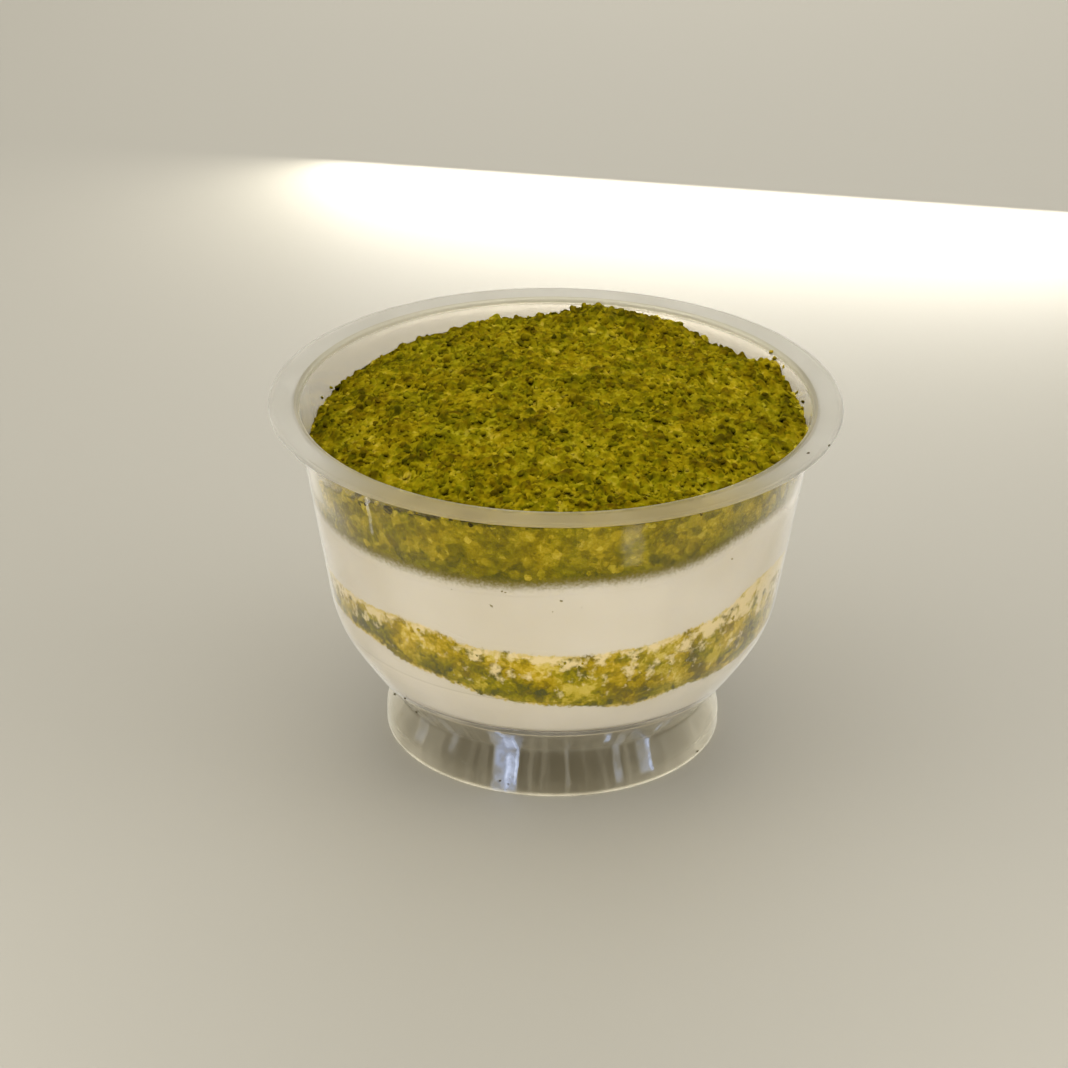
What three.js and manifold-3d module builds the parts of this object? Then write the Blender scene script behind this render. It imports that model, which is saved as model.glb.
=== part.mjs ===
// Footed dessert cup of clear plastic, filled with two layers of vanilla cream
// and two of cake crumbs, the upper one heaped to the rim.
// Millimetres, +Z up, origin at the middle of the ring that the foot stands on.
// Azimuth runs from the front (-Y) towards +X, in degrees.
import * as THREE from "three";
import { mergeVertices } from "three/addons/utils/BufferGeometryUtils.js";
import Module from "manifold-3d";

const wasm = await Module();
wasm.setup();

// ---- driving dimensions ----
const RIM_HEIGHT = 59.8;
const RIM_RADIUS = 47.5;
const RIM_THICKNESS = 0.6;
const RIM_EDGE_ROUND = 0.2;
const MOUTH_RADIUS = 43.3; // outside of the wall, just under the rim
const MOUTH_ROUND = 0.6; // inside edge of the rim
const WALL = 0.7;

const SHOULDER_HEIGHT = 26.3; // the straight wall ends here
const SHOULDER_RADIUS = 37.95;
const SHOULDER_BEND = 20; // radius of the quick turn under the straight wall
const BELLY_BEND = 85; // radius of the slow turn down to the waist
const WALL_LEAN = Math.atan2(MOUTH_RADIUS - SHOULDER_RADIUS, RIM_HEIGHT - SHOULDER_HEIGHT);
const BELLY_LEAN = THREE.MathUtils.degToRad(31); // lean where the two turns meet
const WAIST_LEAN = THREE.MathUtils.degToRad(41); // lean of the bowl at the waist

const FOOT_RADIUS = 28.55;
const FOOT_LIP = 2.6; // height of the upright lip round the foot
const FLARE_TOP = 3.9; // the flare turns upright between here and the lip
const FLARE_RADIUS = 28.15;
const FLOOR_HEIGHT = 14.4;
const FLOOR_THICKNESS = 0.9;
const FLOOR_ROUND = 0.8;

const GAP = 0.3; // between the cup and each layer, and between the layers
const CUP_SIDES = 60;

// Heights of the seams between the layers at the wall, as [azimuth, height].
const LOWER_CREAM_TOP = [
  [-150, 26.4], [-105, 27.2], [-66, 27.4], [-50, 27.1], [-38, 25.6], [-28, 24.9],
  [-19, 23.5], [-8, 22.4], [6, 21.9], [20, 20.9], [33, 22.3], [52, 22.6],
  [67, 24.4], [90, 24.7], [125, 24.9], [170, 25.6],
];
const LOWER_CRUMBS_TOP = [
  [-150, 32.2], [-105, 33.0], [-67, 33.3], [-52, 33.5], [-40, 34.0], [-29, 33.8],
  [-22, 32.4], [-12, 32.1], [4, 31.8], [20, 32.3], [32, 33.3], [45, 34.6],
  [52, 36.6], [60, 37.5], [70, 37.2], [95, 35.0], [135, 32.8], [180, 31.8],
];
const UPPER_CREAM_TOP = [
  [-150, 45.8], [-105, 45.2], [-66, 44.8], [-45, 44.7], [-25, 44.9], [-8, 45.3],
  [4, 46.0], [24, 46.4], [35, 47.2], [46, 48.9], [60, 49.5], [75, 48.9],
  [120, 47.6], [170, 46.5],
];

// The heap: its height at the wall, its crown, and the clumps and dents that stand out.
const HEAP_EDGE = [
  [-165, 56.6], [-140, 55.6], [-125, 54.5], [-108, 52.9], [-90, 51.2], [-70, 52.4],
  [-45, 55.0], [-15, 57.0], [25, 57.4], [60, 56.6], [91, 55.6], [120, 56.3],
  [146, 58.0], [166, 57.9], [180, 57.0],
];
const HEAP_CROWN = 61;
const HEAP_FULLNESS = 2.5; // power of the radius: higher is flatter on top
const CLUMPS = [
  // x, y, how far it stands up, radius
  [7, 35, 2.4, 6.5],
  [21, 32, 1.8, 6],
  [-14, 33, 0.7, 5],
  [30, 20, 0.8, 6],
  [-22, -8, 0.7, 7],
  [12, -20, 0.6, 8],
  [-1.7, -5, -1.3, 2.4],
  [24.5, -15, -1.3, 2.6],
  [14, 24, -1.2, 4],
];
const HEAP_RINGS = 18; // rings of points across the top, about 2.3 mm apart
const RELIEF = 0.8; // how far a point of the top may stand up or sink
const STRAY = 0.5; // how far it may shift sideways
const CRUMB_COUNT = 128;
const SHUFFLE = 37; // step through the places, so that large and small crumbs mix
const CRUMB_SMALL = 0.75; // radius
const CRUMB_LARGE = 1.35;
const CRUMB_SINK = 0.35; // share of its radius that a crumb sits in the heap
const CRUMB_UNEVEN = 0.25; // how far a crumb's corners stray from round

// ---- small tools ----
// Repeatable random numbers from 0 to 1.
function randomFrom(seed) {
  let state = seed;
  return () => {
    state = (state * 1664525 + 1013904223) % 4294967296;
    return state / 4294967296;
  };
}

// Height at an azimuth, on a smooth closed curve through the named points.
function heightAt(points, azimuth) {
  const turn = (angle) => THREE.MathUtils.euclideanModulo(angle, 360);
  const sorted = points.map(([a, h]) => [turn(a), h]).sort((p, q) => p[0] - q[0]);
  const near = (i) => sorted[(i + sorted.length) % sorted.length];
  const here = turn(azimuth);
  const last = sorted.findLastIndex(([a]) => a <= here);
  const slope = (i) => (near(i + 1)[1] - near(i - 1)[1]) / turn(near(i + 1)[0] - near(i - 1)[0]);
  const span = turn(near(last + 1)[0] - near(last)[0]);
  const t = turn(here - near(last)[0]) / span;
  const ease = t * t * (3 - 2 * t);
  const level = THREE.MathUtils.lerp(near(last)[1], near(last + 1)[1], ease);
  return level + span * t * (1 - t) * ((1 - t) * slope(last) - t * slope(last + 1));
}

const meanHeight = (points) => points.reduce((sum, [, h]) => sum + h, 0) / points.length;

// Points of an arc in the profile's plane, from one angle to another.
function arc(centreR, centreZ, radius, from, to, steps) {
  return new THREE.ArcCurve(centreR, centreZ, radius, from, to, to < from).getPoints(steps);
}

const point = (r, z) => new THREE.Vector2(r, z);

// The same profile moved sideways by a distance, to the left of its direction.
function offsetProfile(points, distance) {
  return points.map((p, i) => {
    const before = points[Math.max(i - 1, 0)];
    const after = points[Math.min(i + 1, points.length - 1)];
    const along = after.clone().sub(before).normalize();
    return point(p.x - along.y * distance, p.y + along.x * distance);
  });
}

// A profile turned round the upright axis.
function turned(profile, sides) {
  return new THREE.LatheGeometry(profile, sides).rotateX(Math.PI / 2);
}

// ---- the bowl's outside, from the waist up to the rim ----
// Both turns are arcs that lean further out from the wall as they go down.
function bowlOutside() {
  const shoulderCentre = point(
    SHOULDER_RADIUS - SHOULDER_BEND * Math.cos(WALL_LEAN),
    SHOULDER_HEIGHT + SHOULDER_BEND * Math.sin(WALL_LEAN),
  );
  const bellyCentre = point(
    shoulderCentre.x + (SHOULDER_BEND - BELLY_BEND) * Math.cos(BELLY_LEAN),
    shoulderCentre.y - (SHOULDER_BEND - BELLY_BEND) * Math.sin(BELLY_LEAN),
  );
  const belly = arc(bellyCentre.x, bellyCentre.y, BELLY_BEND, -WAIST_LEAN, -BELLY_LEAN, 3);
  const shoulder = arc(shoulderCentre.x, shoulderCentre.y, SHOULDER_BEND, -BELLY_LEAN, -WALL_LEAN, 4);
  return [...belly, ...shoulder.slice(1), point(MOUTH_RADIUS, RIM_HEIGHT)];
}

const outside = bowlOutside();
const inside = offsetProfile(outside, WALL);
const waist = outside[0];

// Inner radius of the bowl at a height.
function innerRadius(z) {
  const i = THREE.MathUtils.clamp(inside.findIndex((p) => p.y > z), 1, inside.length - 1);
  const [low, high] = [inside[i - 1], inside[i]];
  return THREE.MathUtils.mapLinear(z, low.y, high.y, low.x, high.x);
}

// The same, narrowed where the wall turns into the floor.
const bowlReach = (z) => innerRadius(z) - Math.max(FLOOR_HEIGHT + FLOOR_ROUND - z, 0);

// ---- cup ----
function cupProfile() {
  const underside = FLOOR_HEIGHT - FLOOR_THICKNESS;
  const rimUnder = RIM_HEIGHT - RIM_THICKNESS;
  const mouthInside = innerRadius(RIM_HEIGHT - MOUTH_ROUND);
  const hollowSide = inside.filter((p) => p.y > waist.y + 1 && p.y < underside - 1).reverse();
  const bowlWall = inside.filter((p) => p.y > FLOOR_HEIGHT + 1.5 && p.y < rimUnder - 1).reverse();
  return [
    point(0, underside),
    point(innerRadius(underside) - FLOOR_ROUND, underside),
    point(innerRadius(underside - FLOOR_ROUND), underside - FLOOR_ROUND),
    ...hollowSide,
    point(waist.x - WALL, waist.y), // inside of the waist
    point(FLARE_RADIUS - WALL, FLARE_TOP),
    point(FOOT_RADIUS - WALL, FOOT_LIP),
    point(FOOT_RADIUS - WALL, 0),
    point(FOOT_RADIUS, 0), // ring that the foot stands on
    point(FOOT_RADIUS, FOOT_LIP),
    point(FLARE_RADIUS, FLARE_TOP),
    ...outside.slice(0, -1),
    point(MOUTH_RADIUS - 0.1, rimUnder),
    point(RIM_RADIUS - RIM_EDGE_ROUND, rimUnder),
    point(RIM_RADIUS, rimUnder + RIM_EDGE_ROUND),
    point(RIM_RADIUS, RIM_HEIGHT - RIM_EDGE_ROUND),
    point(RIM_RADIUS - RIM_EDGE_ROUND, RIM_HEIGHT),
    point(mouthInside + MOUTH_ROUND, RIM_HEIGHT),
    point(mouthInside + MOUTH_ROUND * 0.3, RIM_HEIGHT - MOUTH_ROUND * 0.3),
    point(mouthInside, RIM_HEIGHT - MOUTH_ROUND),
    ...bowlWall,
    point(innerRadius(FLOOR_HEIGHT + FLOOR_ROUND), FLOOR_HEIGHT + FLOOR_ROUND),
    point(innerRadius(FLOOR_HEIGHT) - FLOOR_ROUND, FLOOR_HEIGHT),
    point(0, FLOOR_HEIGHT),
  ];
}

function makeCup() {
  return turned(cupProfile(), CUP_SIDES);
}

// ---- layers ----
// Height of a seam: its own height at the wall, easing to its mean at the middle.
function seam(points) {
  const middle = meanHeight(points);
  return (azimuth, share) => THREE.MathUtils.lerp(middle, heightAt(points, azimuth), share ** 2);
}

// A layer between two seams. It is a turned unit profile, x from the axis to the wall
// and y from the lower seam to the upper one, whose points are then laid in the bowl.
function makeLayer(lower, upper, sideSteps) {
  const unit = [point(0, 0)];
  for (let i = 0; i <= sideSteps; i++) unit.push(point(1, i / sideSteps));
  unit.push(point(0, 1));
  const geometry = turned(unit, CUP_SIDES);
  const at = geometry.getAttribute("position");
  for (let i = 0; i < at.count; i++) {
    const share = Math.hypot(at.getX(i), at.getY(i));
    const azimuth = THREE.MathUtils.radToDeg(Math.atan2(at.getX(i), -at.getY(i)));
    const z = THREE.MathUtils.lerp(lower(azimuth, share) + GAP / 2, upper(azimuth, share) - GAP / 2, at.getZ(i));
    const reach = bowlReach(z) - GAP;
    at.setXYZ(i, at.getX(i) * reach, at.getY(i) * reach, z);
  }
  return geometry;
}

// ---- heap of crumbs ----
function heapHeight(x, y, reach) {
  const azimuth = THREE.MathUtils.radToDeg(Math.atan2(x, -y));
  const share = Math.min(Math.hypot(x, y) / reach, 1);
  const mound = THREE.MathUtils.lerp(HEAP_CROWN, heightAt(HEAP_EDGE, azimuth), share ** HEAP_FULLNESS);
  return CLUMPS.reduce((z, [cx, cy, rise, radius]) => {
    const away = Math.hypot(x - cx, y - cy) / radius;
    return z + rise * Math.exp(-away * away);
  }, mound);
}

const heapReach = (azimuth) => innerRadius(heightAt(HEAP_EDGE, azimuth)) - GAP;

// The heap's core: a disc of rings, each with six points more than the last, for the
// top; a side down the wall; and a fan over the seam underneath.
function makeHeapCore(lower, random) {
  const vertices = [];
  const faces = [];
  const ringStart = (k) => (k === 0 ? 0 : 1 + 3 * k * (k - 1));
  const onRing = (k, i) => (k === 0 ? 0 : ringStart(k) + (i % (6 * k)));
  for (let k = 0; k <= HEAP_RINGS; k++) {
    for (let i = 0; i < Math.max(6 * k, 1); i++) {
      const azimuth = (360 * i) / Math.max(6 * k, 1);
      const angle = THREE.MathUtils.degToRad(azimuth);
      const reach = heapReach(azimuth);
      const loose = k < HEAP_RINGS ? 1 : 0;
      const x = ((reach * k) / HEAP_RINGS) * Math.sin(angle) + loose * STRAY * (2 * random() - 1);
      const y = ((-reach * k) / HEAP_RINGS) * Math.cos(angle) + loose * STRAY * (2 * random() - 1);
      vertices.push(x, y, heapHeight(x, y, reach) + loose * RELIEF * (2 * random() - 1));
    }
  }
  for (let k = 1; k <= HEAP_RINGS; k++) {
    for (let sector = 0; sector < 6; sector++) {
      for (let i = 0; i < k; i++) {
        const outer = sector * k + i;
        const inner = sector * (k - 1) + i;
        faces.push(onRing(k - 1, inner), onRing(k, outer), onRing(k, outer + 1));
        if (i < k - 1) faces.push(onRing(k - 1, inner), onRing(k, outer + 1), onRing(k - 1, inner + 1));
      }
    }
  }
  const rim = 6 * HEAP_RINGS;
  let above = ringStart(HEAP_RINGS);
  for (const level of [0.5, 0]) {
    const below = vertices.length / 3;
    for (let i = 0; i < rim; i++) {
      const azimuth = (360 * i) / rim;
      const angle = THREE.MathUtils.degToRad(azimuth);
      const z = THREE.MathUtils.lerp(lower(azimuth, 1) + GAP / 2, heightAt(HEAP_EDGE, azimuth), level);
      const reach = innerRadius(z) - GAP;
      vertices.push(reach * Math.sin(angle), -reach * Math.cos(angle), z);
    }
    for (let i = 0; i < rim; i++) {
      const next = (i + 1) % rim;
      faces.push(above + i, below + i, below + next, above + i, below + next, above + next);
    }
    above = below;
  }
  const middle = vertices.length / 3;
  vertices.push(0, 0, lower(0, 0) + GAP / 2);
  for (let i = 0; i < rim; i++) faces.push(middle, above + ((i + 1) % rim), above + i);
  return new THREE.BufferGeometry()
    .setAttribute("position", new THREE.Float32BufferAttribute(vertices, 3))
    .setIndex(faces);
}

// One uneven crumb, round its own middle.
function makeCrumb(radius, random) {
  const crumb = mergeVertices(bare(new THREE.IcosahedronGeometry(radius, 0)));
  const at = crumb.getAttribute("position");
  const stretch = new THREE.Vector3(0.85 + 0.3 * random(), 0.85 + 0.3 * random(), 0.75 + 0.25 * random());
  for (let i = 0; i < at.count; i++) {
    const corner = new THREE.Vector3().fromBufferAttribute(at, i).multiply(stretch);
    corner.multiplyScalar(1 + CRUMB_UNEVEN * (random() - 0.5));
    at.setXYZ(i, corner.x, corner.y, corner.z);
  }
  return crumb.rotateX(random() * Math.PI).rotateZ(random() * 2 * Math.PI);
}

// Crumbs spread evenly over the heap, the largest first, and joined to its core.
function makeHeap(lower) {
  const random = randomFrom(2611);
  const core = solidOf(makeHeapCore(lower, random));
  const crumbs = [];
  const goldenTurn = Math.PI * (3 - Math.sqrt(5));
  for (let i = 0; i < CRUMB_COUNT; i++) {
    const radius = THREE.MathUtils.lerp(CRUMB_LARGE, CRUMB_SMALL, i / CRUMB_COUNT);
    const place = (i * SHUFFLE) % CRUMB_COUNT;
    const angle = (place + 0.6 * random()) * goldenTurn;
    const azimuth = THREE.MathUtils.radToDeg(Math.atan2(Math.sin(angle), -Math.cos(angle)));
    const reach = heapReach(azimuth);
    const share = Math.sqrt((place + 0.5) / CRUMB_COUNT);
    const out = Math.min(share * reach, reach - 1.35 * radius);
    const x = out * Math.sin(angle);
    const y = out * Math.cos(angle);
    const z = heapHeight(x, y, reach) + radius * (1 - 2 * CRUMB_SINK);
    crumbs.push(solidOf(makeCrumb(radius, random).translate(x, y, z)));
  }
  const joined = crumbs.reduce((heap, crumb) => heap.add(crumb), core);
  const bySize = joined.decompose().sort((a, b) => b.volume() - a.volume());
  return geometryOf(bySize[0]); // a crumb that touches nothing is dropped
}

// ---- solids ----
// A geometry with nothing but its points.
function bare(geometry) {
  geometry.deleteAttribute("normal");
  geometry.deleteAttribute("uv");
  return geometry;
}

function solidOf(geometry) {
  const closed = mergeVertices(bare(geometry));
  const vertProperties = new Float32Array(closed.getAttribute("position").array);
  const triVerts = new Uint32Array(closed.index.array);
  return new wasm.Manifold(new wasm.Mesh({ numProp: 3, vertProperties, triVerts }));
}

function geometryOf(solid) {
  const { vertProperties, triVerts } = solid.getMesh();
  return new THREE.BufferGeometry()
    .setAttribute("position", new THREE.BufferAttribute(vertProperties, 3))
    .setIndex(new THREE.BufferAttribute(triVerts, 1));
}

// ---- finishes ----
const clearPlastic = new THREE.MeshStandardMaterial({
  color: 0xd8d6cc, roughness: 0.12, metalness: 0, transparent: true, opacity: 0.35,
});
const cream = new THREE.MeshStandardMaterial({ color: 0xd2c6a8, roughness: 0.45, metalness: 0 });
const wetCrumbs = new THREE.MeshStandardMaterial({ color: 0x8a7b1f, roughness: 0.6, metalness: 0 });
const dryCrumbs = new THREE.MeshStandardMaterial({ color: 0x968912, roughness: 0.85, metalness: 0 });

// ---- assembly ----
function named(name, geometry, material) {
  const mesh = new THREE.Mesh(geometry, material);
  mesh.name = name;
  return mesh;
}

const floor = () => FLOOR_HEIGHT + GAP / 2;
const lowerSeam = seam(LOWER_CREAM_TOP);
const middleSeam = seam(LOWER_CRUMBS_TOP);
const upperSeam = seam(UPPER_CREAM_TOP);

const puddingCup = new THREE.Group();
puddingCup.add(
  named("cup", makeCup(), clearPlastic),
  named("lower_cream", makeLayer(floor, lowerSeam, 5), cream),
  named("lower_crumbs", makeLayer(lowerSeam, middleSeam, 3), wetCrumbs),
  named("upper_cream", makeLayer(middleSeam, upperSeam, 2), cream.clone()),
  named("crumb_topping", makeHeap(upperSeam), dryCrumbs),
);

export default puddingCup;
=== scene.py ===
# Banana pudding cup: a clear footed cup with two layers of cream and two of cake crumbs.
# Lengths are millimetres until a mesh or lamp is made; azimuth 0 is the front (-Y), 90 is +X.
import functools
import math
import bmesh
import bpy
import numpy as np
from mathutils import Matrix


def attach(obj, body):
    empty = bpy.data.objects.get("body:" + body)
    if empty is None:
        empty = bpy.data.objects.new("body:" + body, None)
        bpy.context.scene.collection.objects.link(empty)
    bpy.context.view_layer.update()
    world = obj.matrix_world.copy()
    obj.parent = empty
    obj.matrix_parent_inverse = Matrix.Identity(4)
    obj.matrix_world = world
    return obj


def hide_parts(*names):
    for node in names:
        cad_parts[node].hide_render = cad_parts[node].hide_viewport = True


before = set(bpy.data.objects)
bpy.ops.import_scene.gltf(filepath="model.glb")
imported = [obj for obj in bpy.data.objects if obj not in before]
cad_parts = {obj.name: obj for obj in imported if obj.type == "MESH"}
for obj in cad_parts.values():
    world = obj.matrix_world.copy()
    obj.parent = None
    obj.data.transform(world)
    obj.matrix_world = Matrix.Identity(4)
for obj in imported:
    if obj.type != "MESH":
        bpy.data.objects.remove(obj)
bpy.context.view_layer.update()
metres = 0.001
print("frame loaded:", sorted(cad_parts))


def addMesh(name, points, faceSets, *materials):
    # faceSets holds arrays of faces, each with one number of corners; a second finish is for the second set
    mesh = bpy.data.meshes.new(name)
    points = np.asarray(points, dtype=np.float32) * metres
    corners = np.concatenate([np.asarray(f, dtype=np.int32).ravel() for f in faceSets])
    sizes = np.concatenate([np.full(len(f), np.shape(f)[1]) for f in faceSets])
    starts = np.concatenate([[0], np.cumsum(sizes)[:-1]]).astype(np.int32)
    mesh.vertices.add(len(points))
    mesh.vertices.foreach_set("co", points.ravel())
    mesh.loops.add(len(corners))
    mesh.loops.foreach_set("vertex_index", corners)
    mesh.polygons.add(len(sizes))
    mesh.polygons.foreach_set("loop_start", starts)
    mesh.polygons.foreach_set("use_smooth", np.full(len(sizes), True))
    finish = np.zeros(len(sizes), dtype=np.int32)
    if len(materials) > 1:
        finish[len(faceSets[0]):] = 1
    mesh.polygons.foreach_set("material_index", finish)
    mesh.update(calc_edges=True)
    for material in materials:
        mesh.materials.append(material)
    mesh.validate()
    obj = bpy.data.objects.new(name, mesh)
    bpy.context.scene.collection.objects.link(obj)
    return obj


def addValues(obj, name, values):
    # one number per point, or the same for all, for the material to read
    layer = obj.data.attributes.new(name, "FLOAT", "POINT")
    layer.data.foreach_set("value", np.full(len(obj.data.vertices), values, dtype=np.float32))


def arcPoints(centreR, centreZ, radius, fromAngle, toAngle, steps):
    turn = np.linspace(fromAngle, toAngle, steps + 1)
    return np.stack([centreR + radius * np.cos(turn), centreZ + radius * np.sin(turn)], 1)


def closedCurve(points):
    # a smooth closed curve through [azimuth, value] points, as a function of azimuth in degrees
    places = np.array(sorted((a % 360, v) for a, v in points))
    count = len(places)
    before = np.roll(places, 1, axis=0)
    after = np.roll(places, -1, axis=0)
    slopes = (after[:, 1] - before[:, 1]) / ((after[:, 0] - before[:, 0]) % 360)

    def value(azimuth):
        here = np.asarray(azimuth, dtype=float) % 360
        low = (np.searchsorted(places[:, 0], here, side="right") - 1) % count
        high = (low + 1) % count
        span = (places[high, 0] - places[low, 0]) % 360
        t = ((here - places[low, 0]) % 360) / span
        ease = t * t * (3 - 2 * t)
        level = places[low, 1] + (places[high, 1] - places[low, 1]) * ease
        return level + span * t * (1 - t) * ((1 - t) * slopes[low] - t * slopes[high])

    return value


def waves(seed, size, count=26):
    # smooth repeatable unevenness, about -1 to 1, with bumps of roughly this size
    draw = np.random.default_rng(seed)
    directions = draw.normal(size=(count, 3))
    directions /= np.linalg.norm(directions, axis=1)[:, None]
    numbers = directions * (math.tau / size * draw.uniform(0.35, 0.75, count))[:, None]
    phases = draw.uniform(0, math.tau, count)

    def value(x, y, z=0):
        spot = np.stack(np.broadcast_arrays(x, y, z), -1)
        return np.cos(spot @ numbers.T + phases).sum(-1) * math.sqrt(2 / count) * 0.7

    return value


def azimuthOf(x, y):
    return np.degrees(np.arctan2(x, -y))


def around(azimuth, radius):
    turn = np.radians(azimuth)
    return radius * np.sin(turn), -radius * np.cos(turn)


# the cup
cup = {
    "rimHeight": 59.8,
    "rimRadius": 47.5,
    "rimThickness": 0.6,
    "mouthRadius": 43.3,
    "mouthRound": 0.6,
    "wall": 0.7,
    "shoulderHeight": 26.3,
    "shoulderRadius": 37.95,
    "shoulderBend": 20,
    "bellyBend": 85,
    "bellyLean": math.radians(31),
    "waistLean": math.radians(41),
    "footRadius": 28.55,
    "footLip": 2.6,
    "flareTop": 3.9,
    "flareRadius": 28.15,
    "floorHeight": 14.4,
    "floorThickness": 0.9,
    "floorRound": 0.8,
    "underRound": 0.3,
    "mouldLineHeight": 22.7,
    "mouldLineDepth": 0.07,
    "mouldLineWidth": 0.22,
    "edgeGroove": 0.07,  # a faint groove on the rim, this far from its edge
    "edgeGroovePlace": 0.75,
    "edgeGrooveWidth": 0.16,
    "sides": 240,
}
wallLean = math.atan2(
    cup["mouthRadius"] - cup["shoulderRadius"], cup["rimHeight"] - cup["shoulderHeight"]
)


def bowlOutside():
    lean, belly = wallLean, cup["bellyLean"]
    shoulder = np.array([
        cup["shoulderRadius"] - cup["shoulderBend"] * math.cos(lean),
        cup["shoulderHeight"] + cup["shoulderBend"] * math.sin(lean),
    ])
    less = cup["shoulderBend"] - cup["bellyBend"]
    slow = shoulder + less * np.array([math.cos(belly), -math.sin(belly)])
    low = arcPoints(*slow, cup["bellyBend"], -cup["waistLean"], -belly, 26)
    quick = arcPoints(*shoulder, cup["shoulderBend"], -belly, -lean, 18)
    heights = np.linspace(cup["shoulderHeight"], cup["rimHeight"], 22)[1:]
    straight = np.stack([
        cup["shoulderRadius"] + (heights - cup["shoulderHeight"]) * math.tan(lean), heights
    ], 1)
    return np.concatenate([low, quick[1:], straight])


outside = bowlOutside()
along = np.gradient(outside, axis=0)
along /= np.linalg.norm(along, axis=1)[:, None]
inside = outside + cup["wall"] * np.stack([-along[:, 1], along[:, 0]], 1)
waist = outside[0]


def innerRadius(z):
    return np.interp(z, inside[:, 1], inside[:, 0])


def between(curve, low, high):
    return curve[(curve[:, 1] > low) & (curve[:, 1] < high)]


def makeCup(material):
    top, wide, wall, bed = cup["rimHeight"], cup["rimRadius"], cup["wall"], cup["floorHeight"]
    foot, lip, flareRadius, flareTop = cup["footRadius"], cup["footLip"], cup["flareRadius"], cup["flareTop"]
    rounded, tight, soft = cup["floorRound"], cup["underRound"], cup["mouthRound"]
    under, rimUnder, half = bed - cup["floorThickness"], top - cup["rimThickness"], cup["rimThickness"] / 2
    mouth = innerRadius(top - soft)
    hollow = between(inside, waist[1] + 1.2, under - tight)[::-1]
    bowl = between(inside, bed + 1.2, rimUnder - 0.6)[::-1]
    skin = between(outside, waist[1] + 1.0, rimUnder - 0.5)
    groove = np.exp(-((skin[:, 1] - cup["mouldLineHeight"]) / cup["mouldLineWidth"]) ** 2)
    skin[:, 0] -= cup["mouldLineDepth"] * groove  # faint ring left by the mould
    flare = [
        (foot, 0.12), (foot, 1.2), (foot, lip - 0.2), (foot - 0.04, lip + 0.15),
        (flareRadius + 0.08, flareTop - 0.3), (flareRadius - 0.06, flareTop + 0.15),
        ((flareRadius + waist[0]) / 2 - 0.05, (flareTop + waist[1]) / 2),
    ]
    for out, up in ((0.40, -0.95), (0.22, -0.45), (0.21, 0.05), (0.40, 0.55)):
        flare.append((waist[0] + out, waist[1] + up))
    back = [(r - wall, z) for r, z in flare[::-1]]
    floorTurn = arcPoints(innerRadius(bed + rounded) - rounded, bed + rounded, rounded, 0, -math.pi / 2, 6)
    underTurn = arcPoints(innerRadius(under - tight) - tight, under - tight, tight, math.pi / 2, 0, 5)
    edge = arcPoints(wide - half, rimUnder + half, half, -math.pi / 2, math.pi / 2, 10)
    lipTurn = arcPoints(mouth + soft, top - soft, soft, math.pi / 2, math.pi, 8)
    outerTurn = arcPoints(cup["mouthRadius"] + 0.55, rimUnder - 0.6, 0.6, math.pi, math.pi / 2, 6)
    groovePlace = wide - cup["edgeGroovePlace"]
    rimTop = [(groovePlace + step, top - cup["edgeGroove"] * math.exp(-(step / cup["edgeGrooveWidth"]) ** 2))
              for step in np.linspace(0.4, -0.4, 11)]
    flat = [(r, top) for r in np.linspace(groovePlace - 0.6, mouth + soft + 0.3, 8)]
    profile = np.concatenate([
        [(0, under)], [(r, under) for r in np.linspace(6, underTurn[0, 0] - 1, 4)],
        underTurn, hollow, back, [(foot - wall, 0), (foot - 0.12, 0)],
        flare, skin, outerTurn, [(r, rimUnder) for r in np.linspace(44.2, wide - 0.5, 6)],
        edge, rimTop, flat, lipTurn, bowl, floorTurn,
        [(r, bed) for r in np.linspace(floorTurn[-1, 0] - 1, 6, 4)], [(0, bed)],
    ])
    return turnedPiece("clear_cup", profile, cup["sides"], material)


def turnedPiece(name, profile, sides, material, shape=None):
    # the profile starts and ends on the axis, and runs so that its left side is inside
    azimuths = np.arange(sides) * 360 / sides
    ring = profile[1:-1]
    x, y = around(azimuths[None, :], ring[:, 0][:, None])
    z = np.broadcast_to(ring[:, 1][:, None], x.shape)
    points = np.stack([x, y, z], -1).reshape(-1, 3)
    points = np.concatenate([points, [[0, 0, profile[0, 1]], [0, 0, profile[-1, 1]]]])
    faces = ringFaces(len(ring), sides)
    first, last = len(points) - 2, len(points) - 1
    step = np.arange(sides)
    onward = (step + 1) % sides
    start = np.stack([np.full(sides, first), onward, step], 1)
    shift = (len(ring) - 1) * sides
    finish = np.stack([np.full(sides, last), shift + step, shift + onward], 1)
    if shape is not None:
        points = shape(points)
    return addMesh(name, points, [faces, start, finish], material)


def ringFaces(rows, sides):
    row = np.arange(rows - 1)[:, None] * sides
    step = np.arange(sides)[None, :]
    a, b = row + step, row + (step + 1) % sides
    return np.stack([a, b, b + sides, a + sides], -1).reshape(-1, 4)


# finishes; each of these adds to one tree of nodes and gives an output
def newFinish(name):
    material = bpy.data.materials.new(name)
    material.use_nodes = True
    return material, material.node_tree, material.node_tree.nodes["Principled BSDF"]


def addNode(tree, kind, **settings):
    node = tree.nodes.new("ShaderNode" + kind)
    for key, value in settings.items():
        if hasattr(node, key):
            setattr(node, key, value)
        else:
            node.inputs[key.replace("_", " ")].default_value = value
    return node


def asLight(colour):
    # three numbers are a colour read off a screen, 0 to 255; four are light already
    if len(colour) == 4:
        return colour
    parts = [c / 255 for c in colour]
    return tuple(c / 12.92 if c <= 0.04045 else ((c + 0.055) / 1.055) ** 2.4 for c in parts) + (1.0,)


def feed(tree, socket, value):
    # links an output, or sets a number or a colour
    if isinstance(value, bpy.types.NodeSocket):
        tree.links.new(value, socket)
    else:
        socket.default_value = asLight(value) if isinstance(value, tuple) else value


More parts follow.
